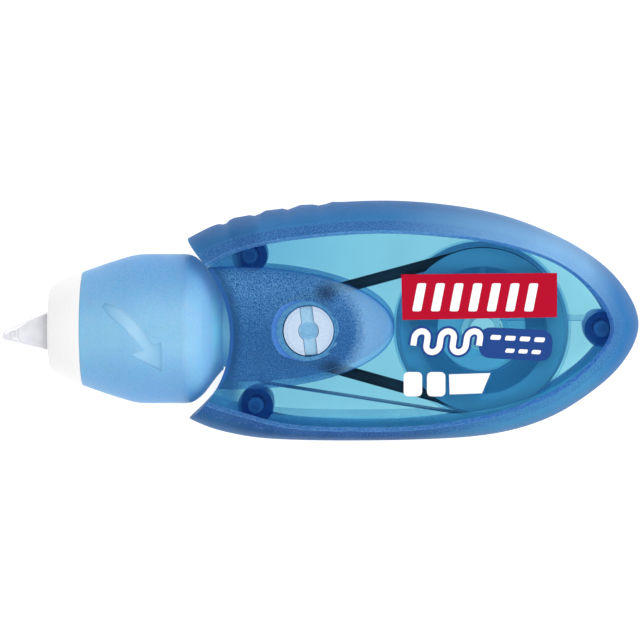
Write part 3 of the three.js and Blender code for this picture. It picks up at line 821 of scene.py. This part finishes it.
def shell_look(centre, normal):
    """Which look a face of the housing has, from its middle and its direction in millimetres."""
    up = abs(centre.z)
    outward = normal.z * (1 if centre.z > 0 else -1)
    flat = abs(normal.z) > 0.999
    along = (centre.x - LEAF["x"]) / LEAF["long"]
    aside = (centre.y - LEAF["y"]) / LEAF["wide"]
    on_leaf = math.hypot(along, aside) < 0.997
    from_knob = math.hypot(centre.x - TAKEUP[0], centre.y - TAKEUP[1])
    from_boss = min(math.hypot(centre.x - x, centre.y - y) for x, y in BOSSES)
    if from_boss < BOSS_R + 0.05 and up < INNER_Z - 0.1:
        return "boss"
    if centre.z > KNOB_HOLE["ledge"] - 3.2 and from_knob < KNOB_HOLE["inner"] + 0.6 and outward > -0.1:
        return "ledge"
    if centre.z > KNOB_HOLE["ledge"] + 0.01 and from_knob < 6.7 and outward < 0.94:
        return "lip"
    if on_leaf and up > LEAF["base"] + 0.1 and outward > 0.02:
        return "leaf"
    if flat and (abs(up - WINDOW_Z) < 0.05 or (abs(up - INNER_Z) < 0.05 and not on_leaf)):
        return "window"
    if WINDOW_Z < up < RIM_Z and gap_to(BORDER, centre) < LIP + 0.03:
        return "edge"
    if gap_to(OUTLINE + INWARD * ((WIDTH - LIP) * rim_share(up)), centre) < 0.9:
        return "frosted"
    if INNER_Z - CORNER < up < INNER_Z and not on_leaf:
        return "corner"
    if math.hypot(centre.x - FRONT["x"], centre.y - FRONT["y"]) < FRONT["r"] + FRONT["wall"] + 0.2:
        return "edge"
    return "inside"


def paint_shell(obj, looks):
    paint(obj, *(looks[name] for name in SHELL_LOOKS))
    return paint_faces(obj, lambda centre, normal: SHELL_LOOKS.index(shell_look(centre, normal)))


def gap_to(line, point):
    return float(np.hypot(line[:, 0] - point.x, line[:, 1] - point.y).min())


OUTLINE, BORDER, INWARD = station_rings(500)
WIDTH = np.linalg.norm(BORDER - OUTLINE, axis=1, keepdims=True)


# ---- Reels ----
def reel(name, centre, sizes):
    core, flange, post = sizes["core"], sizes["flange"], sizes["post"]
    bore = post + GAP
    profile = [(-FLANGE_OUT, bore), (-FLANGE_OUT, flange), (-FLANGE_IN, flange), (-FLANGE_IN, core)]
    return smooth(turned_z(name, profile + [(2.7, core), (2.7, bore)], centre))


def pack(name, centre, sizes, soft):
    """Tape wound on a reel's core."""
    half = TAPE_WIDTH / 2
    return smooth(tube(name, centre, sizes["pack"], sizes["core"] + GAP, -half, half, soft))


def supply_flange():
    outer, inner = SUPPLY_REEL["flange"], SUPPLY_REEL["post"] + GAP
    return smooth(tube("supply_flange_fine", SUPPLY, outer, inner, 3, 3.6))


def supply_pulley(looks):
    """The big pulley: four pockets between its spokes, with deeper-coloured floors."""
    bore = SUPPLY_REEL["post"] + GAP
    floor = SUPPLY_REEL["belt"] - BELT_R - GAP
    top, rim = 7, 13.85
    profile = [(3.9, bore), (3.9, floor), (GROOVE[1], floor), (GROOVE[1], rim), (top, rim), (top, bore)]
    pulley = turned_z("supply_pulley_fine", profile, SUPPLY)
    pocket = tube("pocket", SUPPLY, 10.5, 7.5, 5, 9, 0.2)
    for turn in (0, 90):
        x, y = SUPPLY
        cut(pocket, block("spoke", x - 12, x + 12, y - 0.5, y + 0.5, 4, 9.5, SUPPLY, turn))
    cut(pulley, pocket, tube("step", SUPPLY, 5.4, 4.6, 6.4, 9))
    paint(pulley, looks["pulley"], looks["reel_deep"])
    return smooth(paint_faces(pulley, lambda at, normal: int(4.9 < at.z < 5.3 and abs(normal.z) > 0.5)))


def takeup_pulley():
    low, high = GROOVE
    bore = TAKEUP_REEL["post"] + GAP
    flange = TAKEUP_REEL["flange"]
    floor = TAKEUP_REEL["belt"] - BELT_R - GAP
    profile = [(7.2, 0), (7.2, bore), (3, bore), (3, flange), (3.6, flange), (3.6, 6.3), (low, 6.3)]
    profile += [(low, floor), (high, floor), (high, 6.3), (7, 6.3), (7.4, 3.6), (8.9, 3.6)]
    profile += [(8.9, 1.4), (10.3, 1.4), (10.3, 0)]
    return smooth(turned_z("takeup_pulley_fine", profile, TAKEUP))


def slot_shape(name, half, middle, low, high, reach):
    """A coin slot with a round middle, across the knob."""
    x, y = TAKEUP
    slot = block(name, x - reach, x + reach, y - half, y + half, low, high, TAKEUP, SLOT_LEAN)
    return joined(slot, bar("middle", TAKEUP, middle, low, high))


def rewind_knob():
    disc = bar("rewind_knob_fine", TAKEUP, KNOB_R, 9.2, 10.75, 0.12, 128)
    cut(disc, slot_shape("slot", 1.08, 1.73, 9, 11, 5), tube("groove", TAKEUP, 3.9, 3.6, 10.66, 11))
    return smooth(joined(disc, tube("bridge", TAKEUP, KNOB_R, 3.2, 9.2, 9.6, 0.05)))


def spindle_key():
    """The end of the take-up spindle that shows in the knob's slot."""
    key = slot_shape("spindle_key", 1.0, 1.65, 9.62, 10.15, 4.05)
    cut(key, tube("trim", TAKEUP, 8, KNOB_R - 0.1, 9, 11))
    cut(key, bar("centre_mark", TAKEUP, 0.9, 10.03, 11, 0, 48))
    return smooth(key)


def tangents(x0, y0, r0, s0, x1, y1, r1, s1):
    """Where a line leaves one circle and meets the next. s is 1 round a circle counter-clockwise, or -1."""
    lean = math.asin((s1 * r1 - s0 * r0) / math.hypot(x1 - x0, y1 - y0))
    heading = math.atan2(y1 - y0, x1 - x0) - lean
    side = np.array((-math.sin(heading), math.cos(heading)))
    return np.array((x0, y0)) - side * r0 * s0, np.array((x1, y1)) - side * r1 * s1


def arc(circle, start, end, step):
    x, y, r, s = circle
    a0 = math.atan2(start[1] - y, start[0] - x)
    sweep = (math.atan2(end[1] - y, end[0] - x) - a0) * s % (2 * math.pi)
    count = max(1, math.ceil(sweep / step))
    turns = [a0 + s * sweep * i / count for i in range(count + 1)]
    return [(x + r * math.cos(a), y + r * math.sin(a)) for a in turns]


def drive_belt():
    circles = [(*SUPPLY, SUPPLY_REEL["belt"], 1), (*TAKEUP, TAKEUP_REEL["belt"], 1)]
    path = []
    for i, circle in enumerate(circles):
        other = circles[1 - i]
        _, start = tangents(*other, *circle)
        end, _ = tangents(*circle, *other)
        path += arc(circle, start, end, 0.06)
    sides = 16
    thick = BELT_R + 0.05
    points = []
    for here, side in zip(path, left_of(np.roll(path, -1, axis=0) - np.roll(path, 1, axis=0))):
        for k in range(sides):
            a = 2 * math.pi * k / sides
            points.append((*(here - side * thick * math.cos(a)), BELT_Z + thick * math.sin(a)))
    return smooth(add_mesh("drive_belt_fine", points, grid_faces(len(path), sides, True)), 60)


def tape_run():
    """The strip from the supply reel, over the guide posts, round the tip and back to the take-up reel."""
    gap = 0.25
    circles = [(*SUPPLY, SUPPLY_REEL["pack"] + gap, -1)]
    for (x, y, radius, _), way in zip(GUIDE_POSTS, (-1, 1)):
        circles.append((x, y, radius + gap, way))
    circles += [(-46.5, -3.85, 0.9, -1), (-53.2, -2.55, 0.7, -1), (-46.5, 0.1, 0.9, -1)]
    circles.append((*TAKEUP, TAKEUP_REEL["pack"] + gap, -1))
    line = [tangents(*circles[0], *circles[1])[0]]
    for before, circle, after in zip(circles, circles[1:], circles[2:]):
        line += arc(circle, tangents(*before, *circle)[1], tangents(*circle, *after)[0], 0.12)
    line.append(tangents(*circles[-2], *circles[-1])[1])
    return smooth(plate("tape_run_fine", ribbon(line, 0.1), -TAPE_WIDTH / 2, TAPE_WIDTH / 2), 50)


def ribbon(line, half):
    """The counter-clockwise outline of a line with some thickness."""
    pts = np.array(line)
    side = left_of(np.gradient(pts, axis=0)) * half
    return np.concatenate([pts + side, (pts - side)[::-1]])[::-1]


# ---- Nose ----
COLLAR_OUTSIDE = [
    (-40.25, 9.62), (-40.22, 9.68), (-40.0, 9.8), (-36, 11.2), (-33, 12.12), (-31.8, 12.45),
    (-30.6, 12.64), (-29, COLLAR_R), (-22.8, COLLAR_R), (-21.9, 12.58), (-21.2, 12.25), (-20.5, 11.75),
    (-19.6, 10.9), (-18.4, 9.3), (-17.5, 8.1), (-16.8, 7.3), (-16.35, 6.9),
]
COLLAR_INSIDE = [(-20.2, FRAME_R), (-20.2, 10.3), (-36.3, 10.3), (-36.3, 8.5), (-40.25, 8.5)]


def arrow_outline():
    """A curved arrow with a broad head, drawn on the near side of the collar."""
    bend = (-46.1, -15.75)
    radius = 21.3
    tail, neck, tip = 62, 33.7, 21.3
    outer, inner = [], []
    for k in range(25):
        t = k / 24
        angle = tail + (neck - tail) * t
        half = (1.15 - 0.15 * t) * min(1, 0.35 + 3 * t)
        outer.append(on_circle(*bend, radius + half, angle))
        inner.append(on_circle(*bend, radius - half, angle))
    for away, angle in ((2.3, 32.6), (0, tip), (-3.2, 35.7)):
        outer.append(on_circle(*bend, radius + away, angle))
    return (outer + inner[::-1])[::-1]


def twist_collar(looks):
    collar = turned_x("twist_collar_fine", COLLAR_OUTSIDE + COLLAR_INSIDE, 0.18, 180)
    arrow = plate("arrow", arrow_outline(), 5, 20)
    sunk = [(x, r - ARROW_DEPTH) for x, r in COLLAR_OUTSIDE]
    cut(arrow, turned_x("keep", [(-45, 0)] + sunk + [(-10, 6), (-10, 0)], 0, 180))
    paint(cut(collar, arrow), looks["collar"], looks["arrow"])
    along = [x for x, _ in COLLAR_OUTSIDE]
    radii = [r for _, r in COLLAR_OUTSIDE]

    def in_arrow(at, _):
        depth = np.interp(at.x, along, radii) - math.hypot(at.y - NOSE_Y, at.z)
        return int(at.z > 5 and -38 < at.x < -22 and 0.06 < depth < 0.5)

    return smooth(paint_faces(collar, in_arrow), 25)


def nose_guard():
    profile = [(-45.9, 5.3), (-45.9, 6.6), (-45.75, 7.05), (-45.3, 7.5), (-44.4, 8.02), (-43, 8.72)]
    profile += [(-41.6, 9.3), (-40.6, 9.6), (-40.3, 9.66), (-40.27, 9.65), (-40.27, 8.2), (-24, 8.2)]
    profile += [(-24, FRAME_R), (-43.4, FRAME_R), (-44.6, 5.3)]
    return smooth(turned_x("nose_guard_fine", profile, 0.2), 25)


def nozzle_frame():
    profile = [(-41.5, 5.4), (-41.5, 6.5), (-13.1, 6.5), (-13.1, 8.4), (-12.1, 8.4), (-12.1, 5.4)]
    groove = turned_x("groove", [(-21.6, 6), (-21.6, 9), (-20.4, 9), (-20.4, 6)], 0)
    return smooth(cut(turned_x("nozzle_frame_fine", profile), groove))


def applicator_tip():
    web = [(-53.55, -2.7), (-53, -2.95), (-51, -2.95), (-46, -4.3), (-41, -3.4)]
    web += [(-41, 0.2), (-46, 0.55), (-51, -1.75), (-52.4, -1.95), (-53.1, -2.15)]
    cheek = [(-51.6, -2.7), (-51.3, -2.95), (-50, -3.75), (-47.9, -4.4), (-46, -4.95)]
    cheek += [(-41, -5), (-41, 1.5), (-46, 1.3), (-51.1, -1.2), (-51.6, -1.7)]
    tip = plate("applicator_tip_fine", softened(web, 0.3), -2.9, 2.9, 0.1)
    for low, high in ((2.8, 3.3), (-3.3, -2.8)):
        joined(tip, plate("cheek", softened(cheek, 0.4), low, high, 0.1))
    plug = turned_x("plug", [(-41.4, 0), (-41.4, 5.1), (-37.6, 5.1), (-37.6, 0)], 0.1)
    return smooth(joined(tip, plug))


# ---- Print on the window ----
def rounded_bar(x0, x1, y0, y1, radius, lean=0.0):
    """A slanted bar with round corners, counter-clockwise."""
    corners = [(x0, y0), (x1, y0), (x1 + lean, y1), (x0 + lean, y1)]
    return softened(corners, radius, 6)


def serpentine(x, y, bends, radius, rise, half, lean):
    """A line that runs up and down in even round bends, as an outline."""
    path = [(x, y - rise / 2)]
    for k in range(bends):
        side = 1 if k % 2 == 0 else -1
        for step in range(13):
            a = math.pi * step / 12
            forward = radius * (2 * k + 1 - math.cos(a))
            path.append((x + forward, y + side * (rise / 2 + radius * math.sin(a))))
    path.append((path[-1][0], path[-1][1] - side * rise))
    return ribbon([(px + lean * (py - y), py) for px, py in path], half)


def label_pieces(looks):
    """Coloured panels with plain bars and a wave where the real roller has words."""
    white, navy = looks["white_ink"], looks["navy"]
    pieces = []

    def add(name, outline, layer, material):
        low = WINDOW_Z + 0.02 + 0.03 * layer
        pieces.append(paint(smooth(plate(f"label_{name}", outline, low, low + 0.02)), material))

    pill_turn = ((33, -3.5), -3)
    pill = turn_outline(rounded_bar(26.8, 39.1, -6.1, -0.9, 2.2), *pill_turn)
    add("red_panel", [(13.98, 0.53), (39.84, 1.03), (39.84, 8.44), (13.76, 8.17)], 0, looks["red"])
    add("blue_panel", pill, 0, navy)
    add("strip", [(21.92, -11.96), (27.32, -11.77), (28.76, -8.36), (21.79, -8.59)], 0, white)
    wave = {"x": 15.9, "y": -3.1, "bends": 5, "radius": 1.1, "rise": 1.3, "lean": 0.15}
    add("wave_edge", serpentine(half=0.9, **wave), 1, navy)
    add("wave", serpentine(half=0.5, **wave), 2, white)
    for k in range(7):
        x = 15.6 + 3.12 * k
        add(f"bar_{k + 1}", rounded_bar(x, x + 1.5, 2.0, 6.7, 0.35, 0.9), 1, white)
    dashes = [(28.6 + 2.45 * k, 1.7, -2.95, -2.15) for k in range(4)]
    dashes += [(31.2 + 2.2 * k, 1.5, -5.0, -4.3) for k in range(3)]
    for k, (x, long, low, high) in enumerate(dashes):
        dash = rounded_bar(x, x + long, low, high, 0.3, 0.2)
        add(f"dash_{k + 1}", turn_outline(dash, *pill_turn), 1, white)
    for k in range(2):
        x = 14.2 + 3.9 * k
        add(f"tab_{k + 1}", rounded_bar(x, x + 3.1, -12.3, -8.2, 0.9), 0, white)
    return pieces


# ---- Assembly ----
def make_looks():
    tint = (0.45, 0.70, 0.90)
    lip, ledge = (0.045, 0.18, 0.55), (0.05, 0.24, 0.48)
    edge = (0.045, 0.19, 0.50), (0.03, 0.17, 0.58)
    corner = (0.06, 0.36, 0.76), (0.22, 0.85, 1.0)
    window, window_body, window_tail_painted_light = (0.70, 0.895, 0.94), (0.035, 0.26, 0.56), (0.745, 0.925, 0.95)
    return {
        "frosted": frosted_plastic(),
        "leaf": leaf_plastic(),
        "lip": cloudy_plastic("countersink_blue", lip, lip, 0.08, tint, 0.2, fleck=0.08),
        "ledge": cloudy_plastic("hole_blue", ledge, ledge, 0.2, tint, 0.3),
        "edge": cloudy_plastic("edge_blue", *edge, 0.2, tint, 0.25, fleck=0.3),
        "window": clear_plastic("window_blue", window, window_body, 0.98, 0.08, 1.12, window_tail_painted_light),
        "corner": cloudy_plastic("corner_blue", *corner, 0.66, (0.60, 0.87, 0.96), 0.3, streak=0.15),
        "boss": boss_plastic(),
        "inside": clear_plastic("inside_blue", (0.66, 0.86, 0.95), (0.05, 0.32, 0.70), 0.78, 0.3, 1.15),
        "reel": clear_plastic("reel_teal", (0.855, 0.945, 0.99), (0.05, 0.38, 0.72), 0.955, 0.1, 1.15),
        "reel_deep": clear_plastic("reel_deep", (0.72, 0.86, 0.92), (0.02, 0.22, 0.40), 0.90, 0.15, 1.15),
        "pulley": pulley_plastic(),
        "collar": collar_plastic(),
        "arrow": arrow_plastic(),
        "white": satin("guard_white", (0.87, 0.87, 0.875), (0.83, 0.83, 0.84), 0.4, 0.006),
        # Painted light: the white knob is tinted blue, standing in for light from the blue housing round it.
        "disc": satin("knob_white", (0.47, 0.60, 0.76), (0.43, 0.56, 0.73), 0.35, 0.006),
        "spindle": satin("spindle_blue", (0.30, 0.53, 0.72), (0.20, 0.46, 0.66), 0.35, 0.01),
        "tip": tip_plastic(),
        "belt": rubber(),
        "tape": wound_tape("tape_roll", SUPPLY, (0.90, 0.93, 0.96), (0.76, 0.82, 0.88)),
        "liner": wound_tape("liner_roll", TAKEUP, (0.55, 0.55, 0.50), (0.42, 0.42, 0.38)),
        "strip": strip_plastic(),
        "red": ink("ink_red", (0.45, 0.003, 0.024)),
        "navy": ink("ink_navy", (0.017, 0.06, 0.25)),
        "white_ink": ink("ink_white", (0.90, 0.91, 0.94)),
    }


def build_roller(looks):
    # Each piece with its look, body, slot and the CAD node that it stands for. None: it is painted already.
    pieces = [
        (near_shell(looks), None, "housing", "shell", "near_shell"),
        (far_shell(looks), None, "housing", "shell", "far_shell"),
        (nozzle_frame(), "collar", "housing", "collar", "nozzle_frame"),
        (applicator_tip(), "tip", "housing", "tip", "applicator_tip"),
        (drive_belt(), "belt", "housing", "belt", "drive_belt"),
        (tape_run(), "strip", "housing", "tape", "tape_run"),
        (reel("supply_reel_fine", SUPPLY, SUPPLY_REEL), "reel", "supply", "reel", "supply_reel"),
        (supply_flange(), "reel", "supply", "reel", "supply_flange"),
        (supply_pulley(looks), None, "supply", "reel", "supply_pulley"),
        (pack("tape_pack_fine", SUPPLY, SUPPLY_REEL, 0.1), "tape", "supply", "tape", "tape_pack"),
        (reel("takeup_reel_fine", TAKEUP, TAKEUP_REEL), "reel", "takeup", "reel", "takeup_reel"),
        (takeup_pulley(), "reel", "takeup", "reel", "takeup_pulley"),
        (pack("liner_pack_fine", TAKEUP, TAKEUP_REEL, 0.05), "liner", "takeup", "liner", "liner_pack"),
        (rewind_knob(), "disc", "takeup", "white", "rewind_knob"),
        (spindle_key(), "spindle", "takeup", "reel"),
        (twist_collar(looks), None, "collar", "collar", "twist_collar"),
        (nose_guard(), "white", "guard", "white", "nose_guard"),
    ]
    pieces += [(obj, None, "housing", "shell") for obj in label_pieces(looks)]
    for obj, look, body, slot, *nodes in pieces:
        if look:
            paint(obj, looks[look])
        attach(obj, body)
        if nodes:
            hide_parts(*nodes)
    for node in ("collar_retainer", "cam_sleeve", "guard_pin_near", "guard_pin_far"):
        paint(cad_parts[node], looks["white"])


# ---- Stage ----
def build_stage():
    look = Look("floor_paper")
    tone = look.blend(look.noise(60), (0.42, 0.42, 0.425), (0.39, 0.39, 0.395))
    lit = {"Emission_Color": (1, 1, 1), "Emission_Strength": 0.8}
    material = look.finish(look.solid(tone, 0.9, **lit))
    half = 1.5
    mesh = bpy.data.meshes.new("floor")
    corners = [(-half, -half, 0), (half, -half, 0), (half, half, 0), (-half, half, 0)]
    mesh.from_pydata(corners, [], [(0, 1, 2, 3)])
    floor = paint(new_object("floor", mesh), material)


def softbox(name, place, aim, size, power):
    """A square area light."""
    light = bpy.data.lights.new(name, "AREA")
    light.size = size
    light.energy = power
    obj = new_object(name, light)
    obj.location = place
    obj.rotation_euler = (Vector(aim) - Vector(place)).to_track_quat("-Z", "Y").to_euler()


def build_lights():
    world = bpy.data.worlds.new("studio")
    world.use_nodes = True
    sky = world.node_tree.nodes["Background"].inputs
    sky["Color"].default_value = (1, 1, 1, 1)
    sky["Strength"].default_value = 0.75
    bpy.context.scene.world = world
    for side in (-1, 1):
        softbox(f"softbox_{side + 2}", (0.2, 0.42 * side, 0.58), (0, 0, 0.01), 0.4, 1.6)


def build_camera():
    """Almost straight above, with a frame a little wider than the roller."""
    frame_width = 0.1088
    target = Vector((0, 0, MID_Z))
    data = bpy.data.cameras.new("camera")
    camera = new_object("camera", data)
    camera.location = target + Vector((0.012, 0.036, 0.62))
    away = (target - camera.location).length
    data.sensor_width = 36
    data.lens = data.sensor_width * away / frame_width
    back = (camera.location - target).normalized()
    right = Vector((0, 1, 0)).cross(back).normalized()
    camera.rotation_euler = Matrix((right, back.cross(right), back)).transposed().to_euler()
    bpy.context.scene.camera = camera


build_roller(make_looks())
build_stage()
build_lights()
build_camera()
bpy.context.scene.view_settings.view_transform = "Standard"
bpy.context.scene.cycles.transparent_max_bounces = 32
